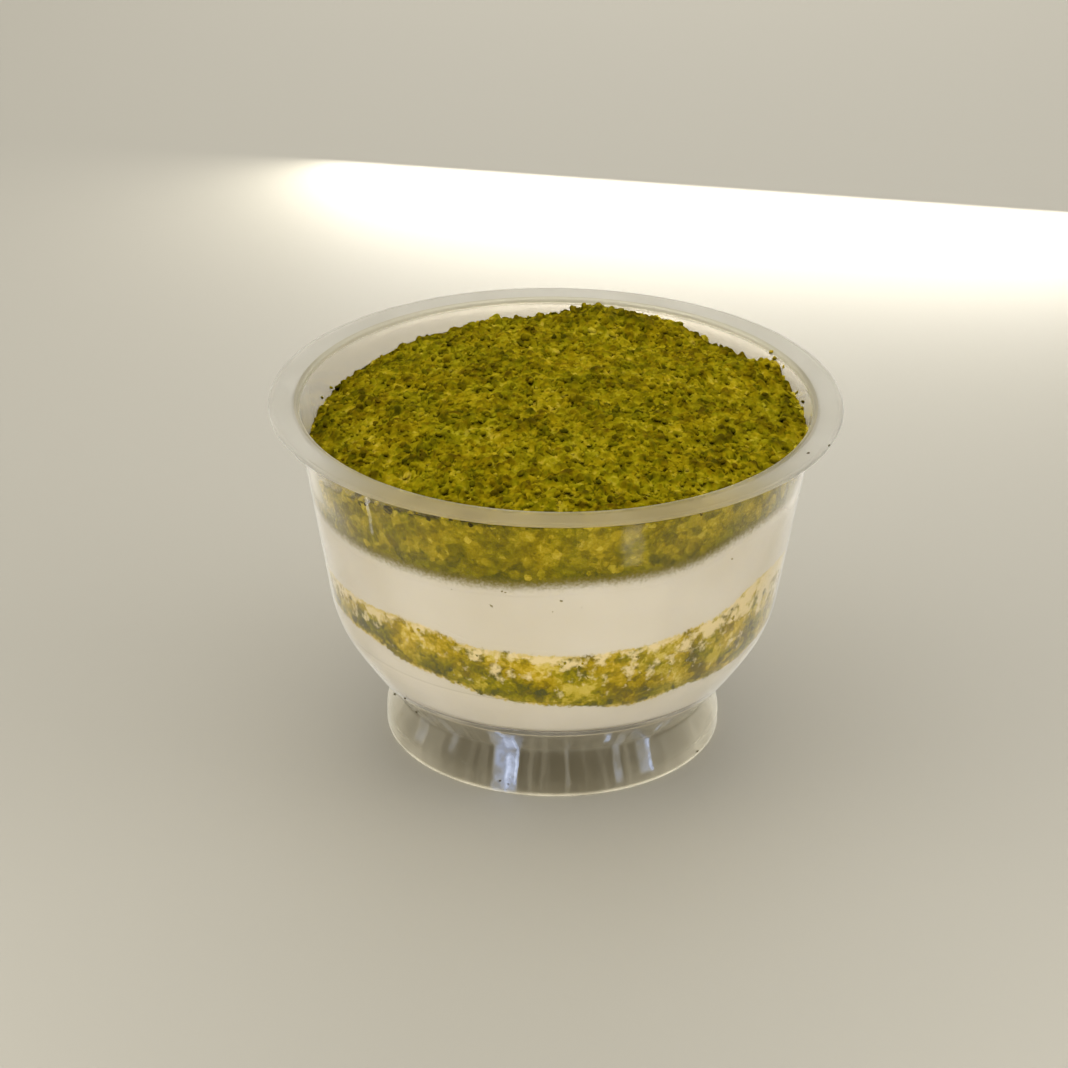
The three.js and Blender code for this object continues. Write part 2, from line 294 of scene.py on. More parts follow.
def splitNode(tree, spot):
    node = addNode(tree, "SeparateXYZ")
    tree.links.new(spot, node.inputs[0])
    return node.outputs


def flatVector(tree, first, second):
    node = addNode(tree, "CombineXYZ")
    tree.links.new(first, node.inputs[0])
    tree.links.new(second, node.inputs[1])
    return node.outputs[0]


def addRamp(tree, value, colours, start=0.0, end=1.0):
    # the colours are evenly spaced from start to end
    ramp = addNode(tree, "ValToRGB")
    elements = ramp.color_ramp.elements
    while len(elements) < len(colours):
        elements.new(0.5)
    for element, place, colour in zip(elements, np.linspace(start, end, len(colours)), colours):
        element.position = place
        element.color = asLight(colour)
    tree.links.new(value, ramp.inputs[0])
    return ramp.outputs[0]


def mathNode(tree, operation, *values, clamp=False):
    node = addNode(tree, "Math", operation=operation, use_clamp=clamp)
    for socket, value in zip(node.inputs, values):
        feed(tree, socket, value)
    return node.outputs[0]


def times(tree, *values):
    return functools.reduce(lambda a, b: mathNode(tree, "MULTIPLY", a, b), values)


def plus(tree, *values):
    return functools.reduce(lambda a, b: mathNode(tree, "ADD", a, b), values)


def gap(tree, value, place):
    # how far the value is from the place, either way
    return mathNode(tree, "ABSOLUTE", mathNode(tree, "SUBTRACT", value, place), 0)


def noiseNode(tree, spot, size, detail=2.0, roughness=0.5):
    # size is that of its bumps in millimetres
    node = addNode(tree, "TexNoise", Scale=1000 / size, Detail=detail, Roughness=roughness)
    tree.links.new(spot, node.inputs["Vector"])
    return node.outputs["Fac"]


def bumpNode(tree, height, distance, strength):
    # distance in millimetres
    node = addNode(tree, "Bump", Strength=strength, Distance=distance * metres)
    tree.links.new(height, node.inputs["Height"])
    return node.outputs["Normal"]


def rise(tree, value, start, end, low=0.0, high=1.0):
    # goes smoothly from low to high while the value goes from start to end
    node = addNode(tree, "MapRange", clamp=True, interpolation_type="SMOOTHSTEP",
                   From_Min=start, From_Max=end, To_Min=low, To_Max=high)
    tree.links.new(value, node.inputs["Value"])
    return node.outputs["Result"]


def colourMix(tree, share, first, second):
    node = addNode(tree, "Mix", data_type="RGBA", clamp_factor=True)
    for place, value in ((0, share), (6, first), (7, second)):
        feed(tree, node.inputs[place], value)
    return node.outputs[2]


clearLook = {
    "tint": (238, 233, 223),
    "footTint": (243, 237, 217),
    "rimTint": (241, 239, 232),
    "lipTint": (214, 209, 186),
    "frontTint": (231, 216, 166),  # the rim's in front of the crumbs
    "frontReach": (26, 60),  # degrees from the front over which the rim's tint changes
    # bluish colour of the painted reflections on the foot
    "paintedReflectionTint": (210, 221, 248),
    "mouldLine": (206, 199, 180),
    "roughness": 0.07,
    "rimRoughness": 0.34,
    "footRoughness": 0.2,
    "bending": 1.5,
    "rimBand": (1.3, 0.7),  # how far under the rim's top its finish starts and is full
    "footBand": (14.2, 12.4),  # heights where the foot's finish starts and is full
    "lipReach": (43.4, 43.2),
    "hazeFacing": 0.003,
    "hazeGrowth": 0.28,
    "hazePower": 2.6,
    "baseFade": (12.2, 14.4, 0.15),  # under these heights that haze goes down to this share
    "footHaze": 0.42,
    "footPower": 1.5,
    "underHaze": 0.03,  # the same above the waist, where the plastic leans away
    "waistBand": (-0.8, 0.2),
    "edgeGrowth": 0.8,
    "edgePower": 8,
    "edgeBand": (4, 7),  # over the waist
    "rimHaze": 0.09,
    "lipHaze": 0.02,
    "edgeHaze": 0.35,  # along the foot's lower edge
    "edgeHeight": (0.15, 0.7),
    "baseHaze": 0.08,  # a pale line at the underside of the bowl's floor
    "baseHeight": 13.9,
    "baseWidth": (0.9, 0.4),
    "smearSize": 9,
    "smear": (0.7, 1.3),
    "brushed": 0.04,
    "brushSize": (3.2, 22),  # degrees, millimetres
    "film": (0.24, 0.09),  # smeared inside, over the crumbs: at the sides, at the back
    "filmSides": (50, 76),
    "filmBack": (90, 112),
    "filmFoot": (46, 49),
    "filmTop": (58.9, 58.6),
    "wobbleSize": 3.5,  # what makes the painted reflection streaks uneven, and by how many degrees
    "wobble": 0.5,
    "brokenSize": 2.2,
    # painted reflections, as upright pale streaks: azimuth, half width in degrees, lowest and highest height,
    # strength
    "paintedReflections": [
        (-18.0, 3.6, -0.2, 13.4, 0.15), (-14.4, 2.8, 0.0, 13.3, 0.24), (-12.5, 0.8, 1.0, 13.2, 0.2),
        (-17.0, 1.2, 12, 14.0, 0.25),
        (17.5, 1.2, 9.5, 13.4, 0.22), (23, 1.9, 0.8, 13, 0.08), (33.4, 3.0, 1.5, 8.5, 0.10),
        (35.9, 0.9, 1.5, 8.5, 0.2), (36.4, 0.9, 9.4, 12.6, 0.26), (39.6, 0.8, 9.8, 12.6, 0.2),
        (-37.6, 2.2, 4, 13, 0.05), (-53.5, 3.4, 3, 12, 0.04), (4.9, 1.0, 1, 11.5, 0.03),
        (-44.7, 0.75, 48.6, 56.6, 0.22), (16.5, 3.2, 48.5, 57.8, 0.05),
    ],
    "passed": (0.93, 0.92, 0.9, 1),  # what lamps shine through it
}


def makeClearPlastic():
    material, tree, plastic = newFinish("clear_plastic_finish")
    link = tree.links.new
    look = clearLook
    plastic.inputs["IOR"].default_value = look["bending"]
    spot = addNode(tree, "TexCoord").outputs["Object"]
    x, y, z = splitNode(tree, spot)
    height = mathNode(tree, "DIVIDE", z, metres)
    facing = addNode(tree, "LayerWeight", Blend=0.5).outputs["Facing"]

    def byHeight(start, end, low=0.0, high=1.0):
        return rise(tree, height, start, end, low, high)

    def slanted(power):
        return mathNode(tree, "POWER", facing, power)

    rimStart, rimFull = [cup["rimHeight"] - drop for drop in look["rimBand"]]
    waistStart, waistEnd = [waist[1] + up for up in look["waistBand"]]
    edgeStart, edgeEnd = [waist[1] + up for up in look["edgeBand"]]
    onRim = byHeight(rimStart, rimFull)
    onFoot = byHeight(*look["footBand"])
    reach = addNode(tree, "VectorMath", operation="LENGTH")
    link(flatVector(tree, x, y), reach.inputs[0])
    reach = mathNode(tree, "DIVIDE", reach.outputs["Value"], metres)
    atLip = times(tree, onRim, rise(tree, reach, *look["lipReach"]))
    growth = times(tree, byHeight(rimStart, rimFull, look["hazeGrowth"], look["rimHaze"]),
                   byHeight(*look["baseFade"]))
    veil = plus(
        tree, times(tree, slanted(look["hazePower"]), growth),
        rise(tree, gap(tree, height, look["baseHeight"]), *look["baseWidth"], 0, look["baseHaze"]),
        times(tree, atLip, look["lipHaze"]),
        times(tree, slanted(look["footPower"]),
              byHeight(waistStart, waistEnd, look["footHaze"], look["underHaze"]), onFoot),
        times(tree, slanted(look["edgePower"]), look["edgeGrowth"], byHeight(edgeStart, edgeEnd)),
        times(tree, onRim, look["rimHaze"]),
        byHeight(*look["edgeHeight"], look["edgeHaze"], look["hazeFacing"]),
    )
    smear = noiseNode(tree, spot, look["smearSize"], 3)
    veil = times(tree, veil, rise(tree, smear, 0.3, 0.7, *look["smear"]))
    # azimuth in degrees, a little uneven
    turn = mathNode(tree, "ARCTAN2", x, times(tree, y, -1.0))
    wobble = noiseNode(tree, spot, look["wobbleSize"])
    turn = plus(tree, times(tree, turn, 180 / math.pi),
                rise(tree, wobble, 0.2, 0.8, -look["wobble"], look["wobble"]))
    brushWide, brushHigh = look["brushSize"]
    drawn = flatVector(tree, mathNode(tree, "DIVIDE", turn, brushWide),
                       mathNode(tree, "DIVIDE", height, brushHigh))
    brushed = rise(tree, noiseNode(tree, drawn, 1000, 3), 0.45, 0.72, 0, look["brushed"])
    aside = mathNode(tree, "ABSOLUTE", turn, 0)
    sideFilm, backFilm = look["film"]
    film = times(tree, rise(tree, aside, *look["filmSides"], 0, sideFilm),
                 rise(tree, aside, *look["filmBack"], 1, backFilm / sideFilm),
                 byHeight(*look["filmFoot"]), byHeight(*look["filmTop"]))
    # painted reflections as streaks, each broken up along its height
    bands = []
    for azimuth, halfWidth, lowest, highest, strength in look["paintedReflections"]:
        bands.append(times(
            tree, rise(tree, gap(tree, turn, azimuth), halfWidth * 0.45, halfWidth, strength, 0.0),
            byHeight(lowest, lowest + 1.2), byHeight(highest, highest - 1.5)))
    broken = noiseNode(tree, spot, look["brokenSize"], 3, 0.6)
    paintedReflections = times(tree, plus(tree, *bands), rise(tree, broken, 0.32, 0.66, 0.45, 1.5))
    veil = plus(tree, veil, times(tree, brushed, onFoot), film, paintedReflections)
    through = mathNode(tree, "SUBTRACT", 1.0, veil, clamp=True)
    link(through, plastic.inputs["Transmission Weight"])
    ofRim = colourMix(tree, rise(tree, aside, *look["frontReach"]), look["frontTint"], look["rimTint"])
    tint = colourMix(tree, onFoot, look["tint"], look["footTint"])
    tint = colourMix(tree, onRim, tint, ofRim)
    tint = colourMix(tree, atLip, tint, look["lipTint"])
    # painted reflection colour: bluish where the painted reflection streaks lie on the foot
    tint = colourMix(tree, times(tree, paintedReflections, 5.0, onFoot), tint, look["paintedReflectionTint"])
    line = rise(tree, gap(tree, height, cup["mouldLineHeight"]), 0.16, 0.06)
    link(colourMix(tree, line, tint, look["mouldLine"]), plastic.inputs["Base Color"])
    rough = plus(tree, byHeight(rimStart, rimFull, look["roughness"], look["rimRoughness"]),
                 times(tree, onFoot, look["footRoughness"] - look["roughness"]))
    link(rough, plastic.inputs["Roughness"])
    # the rim is flatter than the rest
    ripple = times(tree, noiseNode(tree, spot, 14, 1),
                   mathNode(tree, "SUBTRACT", 1.0, times(tree, onRim, 0.8)))
    link(bumpNode(tree, ripple, 0.25, 0.6), plastic.inputs["Normal"])
    # lamps shine through the plastic onto what it holds
    passed = addNode(tree, "BsdfTransparent", Color=look["passed"])
    mix = addNode(tree, "MixShader")
    link(addNode(tree, "LightPath").outputs["Is Shadow Ray"], mix.inputs[0])
    link(plastic.outputs[0], mix.inputs[1])
    link(passed.outputs[0], mix.inputs[2])
    link(mix.outputs[0], tree.nodes["Material Output"].inputs["Surface"])
    return material


creamLook = {
    "pale": (217, 212, 201),
    "warm": (211, 205, 191),
    "patch": 16,
    "roughness": 0.5,
    "shine": 0.2,
    "softness": 0.2,
    "reach": (1.0, 0.9, 0.6),
    "depth": 0.6,
}


def softBody(shader, look):
    shader.inputs["Roughness"].default_value = look["roughness"]
    shader.inputs["Specular IOR Level"].default_value = look["shine"]
    if "softness" in look:
        shader.inputs["Subsurface Weight"].default_value = look["softness"]
        shader.inputs["Subsurface Radius"].default_value = look["reach"]
        shader.inputs["Subsurface Scale"].default_value = look["depth"] * metres


def creamColour(tree, spot):
    patches = noiseNode(tree, spot, creamLook["patch"], 3)
    return addRamp(tree, patches, [creamLook["warm"], creamLook["pale"]], 0.35, 0.65)


def makeCreamFinish():
    material, tree, cream = newFinish("cream_finish")
    softBody(cream, creamLook)
    spot = addNode(tree, "TexCoord").outputs["Object"]
    tree.links.new(creamColour(tree, spot), cream.inputs["Base Color"])
    fine = noiseNode(tree, spot, 2.5, 3)
    tree.links.new(bumpNode(tree, fine, 0.1, 0.4), cream.inputs["Normal"])
    return material


# golden and green crumbs lie mixed, each from the darkest to the brightest; patch, grain and fine are each a
# size and a share; edges are where butter and then bare cream start and are full
dryLook = {
    "gold": [(88, 70, 0), (118, 98, 0), (144, 124, 3), (168, 145, 16), (194, 167, 50)],
    "green": [(66, 62, 0), (98, 91, 0), (124, 115, 2), (148, 137, 12), (172, 159, 40)],
    "patch": (2.4, 0.9), "grain": (1.4, 0.3), "fine": (0.6, 0.08),
    "roughness": 0.9, "shine": 0.03, "relief": 0.015, "upright": 0.86,
}
sideLook = {
    "gold": [(96, 86, 6), (122, 108, 4), (148, 131, 10), (176, 156, 26), (202, 182, 62)],
    "green": [(78, 78, 24), (98, 94, 14), (122, 115, 8), (146, 136, 12), (180, 164, 38)],
    "patch": (5.0, 0.2), "grain": (1.7, 0.5), "fine": (0.32, 0.6),
    "roughness": 0.8, "shine": 0.03, "softness": 0.3, "reach": (1.0, 0.9, 0.5), "depth": 0.3, "relief": 0.04,
    "stray": (2.0, 0.7, 1.6), "butter": (122, 112, 46), "edges": (-1.8, -0.4, -0.9, 1.5),
}
wetLook = {
    "gold": [(120, 104, 8), (146, 127, 6), (173, 151, 14), (198, 172, 46), (220, 200, 110)],
    "green": [(84, 84, 40), (102, 98, 24), (128, 121, 6), (154, 142, 8), (192, 174, 56)],
    "patch": (4.0, 0.9), "grain": (1.5, 0.6), "fine": (0.5, 0.7),
    "roughness": 0.7, "shine": 0.05, "softness": 0.2, "reach": (1.0, 0.9, 0.6), "depth": 0.3, "relief": 0.04,
    "stray": (2.0, 1.0, 1.2), "butter": (206, 184, 96), "edges": (-0.45, 0.05, -0.1, 0.55),
    "soaked": (228, 212, 165), "pocket": (2.2, 4.0, 0.0, 0.75), "butterPatch": 3.5,
}


def makeCrumbFinish(name, look):
    # each crumb's own tone and hue, shifted by patches of a few crumbs and by grain finer than a crumb
    material, tree, crumb = newFinish(name)
    link = tree.links.new
    softBody(crumb, look)
    spot = addNode(tree, "TexCoord").outputs["Object"]

    def stored(key):
        return addNode(tree, "Attribute", attribute_name=key).outputs["Fac"]

    def shifted(start, texture, share):
        # start plus share times how far the texture is from its middle
        return mathNode(tree, "MULTIPLY_ADD", mathNode(tree, "SUBTRACT", texture, 0.5), share, start)

    patchSize, patchShare = look["patch"]
    grainSize, grainShare = look["grain"]
    fineSize, fineShare = look["fine"]
    tone = shifted(stored("tone"), noiseNode(tree, spot, patchSize), patchShare)
    tone = shifted(tone, noiseNode(tree, spot, fineSize, 2, 0.6), fineShare)
    hue = stored("hue")
    strayed = addNode(tree, "VectorMath", operation="MULTIPLY_ADD")
    link(noiseNode(tree, spot, grainSize * 1.3).node.outputs["Color"], strayed.inputs[0])
    strayed.inputs[1].default_value = (grainSize * metres,) * 3
    link(spot, strayed.inputs[2])
    for size, share in ((grainSize, grainShare), (grainSize * 0.45, grainShare * 0.6)):
        grains = addNode(tree, "TexVoronoi", feature="SMOOTH_F1", Scale=1000 / size, Randomness=1.0,
                         Smoothness=0.4)
        link(strayed.outputs[0], grains.inputs["Vector"])
        split = addNode(tree, "SeparateColor")
        link(grains.outputs["Color"], split.inputs[0])
        tone = shifted(tone, split.outputs[0], share)
        hue = shifted(hue, split.outputs[1], share)
    hue = shifted(hue, noiseNode(tree, spot, patchSize * 1.4), 1.0)
    colour = colourMix(tree, hue, addRamp(tree, tone, look["green"]), addRamp(tree, tone, look["gold"]))
    if "stray" in look:
        # past the seams butter and then cream alone take over
        size, coarse, fine = look["stray"]
        butterStart, butterFull, creamStart, creamFull = look["edges"]
        bare = shifted(stored("bare"), noiseNode(tree, spot, size, 3), coarse)
        bare = shifted(bare, noiseNode(tree, spot, 0.5, 2, 0.6), fine)
        buttered = rise(tree, bare, butterStart, butterFull)
        if "pocket" in look:
            # crumbs soaked with cream, in pockets
            size, share, start, full = look["pocket"]
            pocket = shifted(stored("pocket"), noiseNode(tree, spot, size, 3, 0.6), share)
            colour = colourMix(tree, rise(tree, pocket, start, full), colour, look["soaked"])
            patches = noiseNode(tree, spot, look["butterPatch"])
            buttered = times(tree, buttered, rise(tree, patches, 0.42, 0.62))
        colour = colourMix(tree, buttered, colour, look["butter"])
        colour = colourMix(tree, rise(tree, bare, creamStart, creamFull), colour, creamColour(tree, spot))
    link(colour, crumb.inputs["Base Color"])
    bumps = bumpNode(tree, noiseNode(tree, spot, 0.5), look["relief"], 0.5)
    link(bumps, crumb.inputs["Normal"])
    if "upright" in look:
        # loose crumbs are so porous that their slopes hardly shade them
        upward = addNode(tree, "Mix", data_type="VECTOR")
        upward.inputs[0].default_value = look["upright"]
        link(addNode(tree, "NewGeometry").outputs["Normal"], upward.inputs[4])
        upward.inputs[5].default_value = (0, 0, 1)
        unit = addNode(tree, "VectorMath", operation="NORMALIZE")
        link(upward.outputs[1], unit.inputs[0])
        link(unit.outputs[0], bumps.node.inputs["Normal"])
    return material


clearPlastic = makeClearPlastic()
creamFinish = makeCreamFinish()
dryFinish = makeCrumbFinish("dry_crumb_finish", dryLook)
sideFinish = makeCrumbFinish("side_crumb_finish", sideLook)
wetFinish = makeCrumbFinish("wet_crumb_finish", wetLook)
print("finishes made")

clearCup = makeCup(clearPlastic)
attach(clearCup, "root")
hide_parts("cup")
print("cup made:", len(clearCup.data.polygons), "faces")

# the layers, each running through the cup
layers = {
    "lowerCreamTop": [
        (-150, 26.4), (-105, 27.2), (-66, 27.4), (-50, 27.1), (-38, 25.6), (-28, 24.9), (-19, 23.5),
        (-8, 22.4), (6, 21.9), (20, 20.9), (33, 22.3), (52, 22.6), (67, 24.4), (90, 24.7), (125, 24.9),
        (170, 25.6),
    ],
    "lowerCrumbsTop": [
        (-150, 32.2), (-105, 33.0), (-67, 33.3), (-52, 33.5), (-40, 34.0), (-29, 33.8), (-22, 32.4),
        (-12, 32.1), (4, 31.8), (20, 32.3), (32, 33.3), (45, 34.6), (52, 36.6), (60, 37.5), (70, 37.4),
        (95, 35.0), (135, 32.8), (180, 31.8),
    ],
    "upperCreamTop": [
        (-150, 45.8), (-105, 45.2), (-66, 44.8), (-45, 44.7), (-25, 44.9), (-8, 45.3), (4, 46.0),
        (24, 46.4), (35, 47.2), (46, 48.9), (60, 49.5), (75, 48.9), (120, 47.6), (170, 46.5),
    ],
    "fringe": 2.0,  # how far crumbs' bodies reach over the cream, where they fade out
    "creamIntoWall": 0.08,
    "crumbsIntoWall": 0.13,
    "sink": 0.14,
    "sinkShare": 0.07,  # of a layer's height, over which its edges draw back
    "overlap": 0.2,
    "sides": 300,
}
lowerSeam = closedCurve(layers["lowerCreamTop"])
middleSeam = closedCurve(layers["lowerCrumbsTop"])
upperSeam = closedCurve(layers["upperCreamTop"])


def bowlReach(z):
    corner = np.maximum(cup["floorHeight"] + cup["floorRound"] - z, 0)
    return innerRadius(z) - corner


def makeLayer(name, lower, upper, intoWall, rows, material, sink=0.0):
    # a body from one seam to the next; its edges draw back from the wall by sink, behind what lies next
    unit = np.concatenate([
        [(0, 0)], [(s, 0) for s in np.linspace(0.12, 0.97, 12)], [(1, t) for t in np.linspace(0, 1, rows)],
        [(s, 1) for s in np.linspace(0.97, 0.12, 12)], [(0, 1)],
    ])

    def lay(points):
        azimuth = azimuthOf(points[:, 0], points[:, 1])
        low, high = lower(azimuth), upper(azimuth)
        z = low + (high - low) * points[:, 2]
        fromEdge = np.minimum(points[:, 2], 1 - points[:, 2])
        reach = bowlReach(z) + intoWall - sink * np.clip(1 - fromEdge / layers["sinkShare"], 0, 1)
        return np.stack([points[:, 0] * reach, points[:, 1] * reach, z], -1)

    return turnedPiece(name, unit, layers["sides"], material, lay)


def pointsOf(obj):
    co = np.empty(len(obj.data.vertices) * 3, dtype=np.float32)
    obj.data.vertices.foreach_get("co", co)
    return co.reshape(-1, 3).astype(float).T / metres


lowerCream = makeLayer(
    "lower_cream_layer", lambda a: 0 * a + cup["floorHeight"] - 0.08,
    lambda a: lowerSeam(a) + layers["overlap"], layers["creamIntoWall"], 20, creamFinish,
)
upperCream = makeLayer(
    "upper_cream_layer", lambda a: middleSeam(a) - layers["overlap"], upperSeam, layers["creamIntoWall"], 22,
    creamFinish,
)
for obj, node in ((lowerCream, "lower_cream"), (upperCream, "upper_cream")):
    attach(obj, "root")
    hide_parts(node)
print("cream made")

# crumbs: a stock of small lumps, turned and sized at random
crumbs = {
    "kinds": 28,  # different lumps for each fineness
    "lobes": (4, 8),
    "lobePlaces": (0.35, 0.62),
    "lobeSizes": (0.34, 0.6),
    "uneven": 0.08,
    "creaseShade": 0.05,
}


def roundBall(level):
    ball = bmesh.new()
    bmesh.ops.create_icosphere(ball, subdivisions=level, radius=1)
    points = np.array([v.co[:] for v in ball.verts])
    faces = np.array([[v.index for v in f.verts] for f in ball.faces])
    ball.free()
    return points, faces


def lumpShapes(level, seed):
    # each lump is the outside of small balls stuck together; also gives how deep in a crease each point lies
    draw = np.random.default_rng(seed)
    directions, faces = roundBall(level)
    shapes, depths = [], []
    for _ in range(crumbs["kinds"]):
        count = draw.integers(*crumbs["lobes"])
        centres = draw.normal(size=(count, 3))
        places = draw.uniform(*crumbs["lobePlaces"], count)
        centres *= (places / np.linalg.norm(centres, axis=1))[:, None]
        sizes = draw.uniform(*crumbs["lobeSizes"], count)
        ahead = directions @ centres.T
        met = ahead**2 - (centres**2).sum(1) + sizes**2
        reach = np.where(met > 0, ahead + np.sqrt(np.maximum(met, 0)), 0)
        reach = np.maximum(reach.max(1), 0.5) * (1 + crumbs["uneven"] * draw.uniform(-1, 1, len(directions)))
        reach /= reach.mean()
        shapes.append(directions * reach[:, None])
        depths.append(reach - 1)
    return np.array(shapes), faces, np.array(depths)


lumps = {level: lumpShapes(level, 40 + level) for level in (1, 2, 3)}


def turns(draw, count):
    # random rotations, from random unit quaternions
    q = draw.normal(size=(count, 4))
    a, b, c, d = (q / np.linalg.norm(q, axis=1)[:, None]).T
    return np.stack([
        1 - 2 * (c * c + d * d), 2 * (b * c - a * d), 2 * (b * d + a * c),
        2 * (b * c + a * d), 1 - 2 * (b * b + d * d), 2 * (c * d - a * b),
        2 * (b * d - a * c), 2 * (c * d + a * b), 1 - 2 * (b * b + c * c),
    ], -1).reshape(-1, 3, 3)


def someSizes(draw, sizes, count, power):
    # more small ones than large ones
    low, high = sizes
    return low + (high - low) * draw.uniform(0, 1, count) ** power


def wallLimit(points, intoWall):
    # nothing reaches further into the wall than this
    reach = np.hypot(points[..., 0], points[..., 1])
    most = innerRadius(points[..., 2]) + intoWall
    points[..., :2] *= np.minimum(1, most / np.maximum(reach, 1e-6))[..., None]
    return points


def alongWall(draw, count, lower, upper, shares, sizes, inward):
    # places pressed to the wall between two seams, and how far up each lies
    azimuth = draw.uniform(-180, 180, count)
    share = draw.uniform(*shares, count)
    z = lower(azimuth) + (upper(azimuth) - lower(azimuth)) * share
    radius = someSizes(draw, sizes, count, 2)
    x, y = around(azimuth, innerRadius(z) - inward * radius)
    return x, y, z, radius, share


def scatterCrumbs(name, level, centres, radii, tones, hues, material, seed, squash=(0.75, 1.25), intoWall=0.2,
                  lift=None):
    draw = np.random.default_rng(seed)
    shapes, faces, depths = lumps[level]
    kind = draw.integers(0, len(shapes), len(centres))
    stretch = draw.uniform(*squash, (len(centres), 1, 3))
    local = shapes[kind] * stretch * np.asarray(radii)[:, None, None]
    local = np.einsum("nij,nvj->nvi", turns(draw, len(centres)), local)
    points = wallLimit(local + np.asarray(centres)[:, None, :], intoWall)
    tone = np.asarray(tones)[:, None] + crumbs["creaseShade"] * depths[kind]
    # painted light, where given: crumbs lying in hollows are made paler
    if lift is not None:
        tone = tone + lift(points[..., 0], points[..., 1], points[..., 2])
    count = shapes.shape[1]
    allFaces = (faces[None] + (np.arange(len(centres)) * count)[:, None, None]).reshape(-1, 3)
    obj = addMesh(name, points.reshape(-1, 3), [allFaces], material)
    addValues(obj, "tone", tone.ravel())
    addValues(obj, "hue", np.repeat(hues, count))
    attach(obj, "root")
    print(name, len(centres), "crumbs,", len(allFaces), "faces")
    return obj


# the lower, moist crumbs
mash = {
    "rows": 44,
    # how far the crumbs thin out towards their upper seam, by azimuth
    "loose": [(0, 0.15), (28, 0.1), (50, 0.8), (76, 1.2), (120, 0.5), (180, 0.3), (-120, 0.4), (-75, 0.7),
              (-50, 0.3), (-35, -0.1)],
    "count": 420,
    "shares": (0.02, 0.96),
    "sizes": (0.25, 0.75),
    "bare": -1.6,  # of pressed crumbs, which no cream covers
    "pocket": -3.0,
}
looseness = closedCurve(mash["loose"])


def mashTone(x, y, z):
    return 0.51 + 0.2 * waves(72, 5)(x, y, z * 1.6)


def mashHue(x, y, z):
    return 0.5 + 0.45 * waves(78, 5)(x, y, z * 1.6)


def mashBare(x, y, z):
    # past the seams cream takes over
    azimuth = azimuthOf(x, y)
    return np.maximum(lowerSeam(azimuth) - z, z - middleSeam(azimuth))


def mashPocket(x, y, z):
    # pockets of soaked crumbs, most in the upper part
    azimuth = azimuthOf(x, y)
    low, high = lowerSeam(azimuth), middleSeam(azimuth)
    share = np.clip((z - low) / (high - low), 0, 1)
    return share - 0.66 + looseness(azimuth) * (share - 0.2)


def makeMash():
    obj = makeLayer(
        "lower_crumb_mash", lambda a: lowerSeam(a) - layers["fringe"],
        lambda a: middleSeam(a) + layers["fringe"], layers["crumbsIntoWall"], mash["rows"], wetFinish,
        layers["sink"],
    )
    x, y, z = pointsOf(obj)
    # the lowest crumbs are darker and greener
    share = np.clip((z - lowerSeam(azimuthOf(x, y))) / 5, 0, 1)
    addValues(obj, "tone", mashTone(x, y, z) - 0.08 + 0.12 * share)
    addValues(obj, "hue", mashHue(x, y, z) - 0.25 + 0.3 * share)
    addValues(obj, "bare", mashBare(x, y, z))
    addValues(obj, "pocket", mashPocket(x, y, z))
    return obj


lowerMash = makeMash()
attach(lowerMash, "root")
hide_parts("lower_crumbs")

draw = np.random.default_rng(5)
count = mash["count"]
x, y, z, radius, _ = alongWall(draw, count, lowerSeam, middleSeam, mash["shares"], mash["sizes"], 0.55)
tones = mashTone(x, y, z) + draw.uniform(-0.2, 0.2, count)
hues = mashHue(x, y, z) + draw.uniform(-0.3, 0.3, count)
pressed = scatterCrumbs("pressed_wet_crumbs", 2, np.stack([x, y, z], 1), radius, tones, hues, wetFinish, 6,
                        (0.7, 1.4), 0.15)
addValues(pressed, "bare", mash["bare"])
addValues(pressed, "pocket", mash["pocket"])

# the heap of dry crumbs
heap = {
    "edge": [
        (-165, 56.3), (-140, 55.0), (-125, 53.9), (-108, 52.6), (-90, 51.4), (-70, 52.4),
        (-45, 55.0), (-15, 57.0), (25, 57.4), (60, 56.6), (91, 55.0), (104, 55.6), (115, 57.0),
        (124, 56.3), (136, 56.0), (144, 56.6), (152, 57.8), (166, 57.8), (180, 57.0),
    ],
    "crown": 61,
    "fullness": 2.5,
    "clumps": [
        (7, 35, 2.4, 6.5), (21, 32, 1.2, 5), (-14, 33, 0.7, 5), (30, 20, 0.4, 6),
        (-22, -8, 0.7, 7), (12, -20, 0.6, 8), (-1.7, -5, -1.3, 2.4), (24.5, -15, -1.3, 2.6),
        (14, 24, -1.2, 4), (26, 27, -0.8, 4), (36.9, 18, 1.5, 1.8),
    ],
    "gridStep": 0.2,
    "halfWidth": 45,
    "baseDrop": 0.95,
    "bedCrumbs": 15000,  # relief on the core
    "bedSizes": (0.3, 0.8),
    "bedRise": -0.1,
    "bedFlatness": 0.95,
    "largeCount": 560,
    "largeSizes": (0.5, 0.85),
    "goldCount": 1350,
    "goldSizes": (0.3, 0.58),
    "oliveCount": 1150,
    "oliveSizes": (0.3, 0.58),
    "smallCount": 1500,
    "smallSizes": (0.16, 0.3),
    "rise": -0.35,
    "jitter": 0.45,
    "goldenClump": (37.2, 18.4, 2.2),  # place and size of a golden clump by the far wall
    "coreRings": 146,
    "coreRows": 18,
    "coreEdge": 0.35,  # how far under the crumbs' edge the core's may lie
    "hollowPaintedLight": 0.5,  # painted light: how much paler crumbs are per millimetre that they lie deeper than those around, lightening the shade in hollows
}
heapEdge = closedCurve(heap["edge"])


def heapHeight(x, y):
    edge = heapEdge(azimuthOf(x, y))
    share = np.minimum(np.hypot(x, y) / innerRadius(edge), 1)
    level = heap["crown"] + (edge - heap["crown"]) * share ** heap["fullness"]
    for cx, cy, rise, size in heap["clumps"]:
        level = level + rise * np.exp(-((x - cx) ** 2 + (y - cy) ** 2) / size**2)
    return level


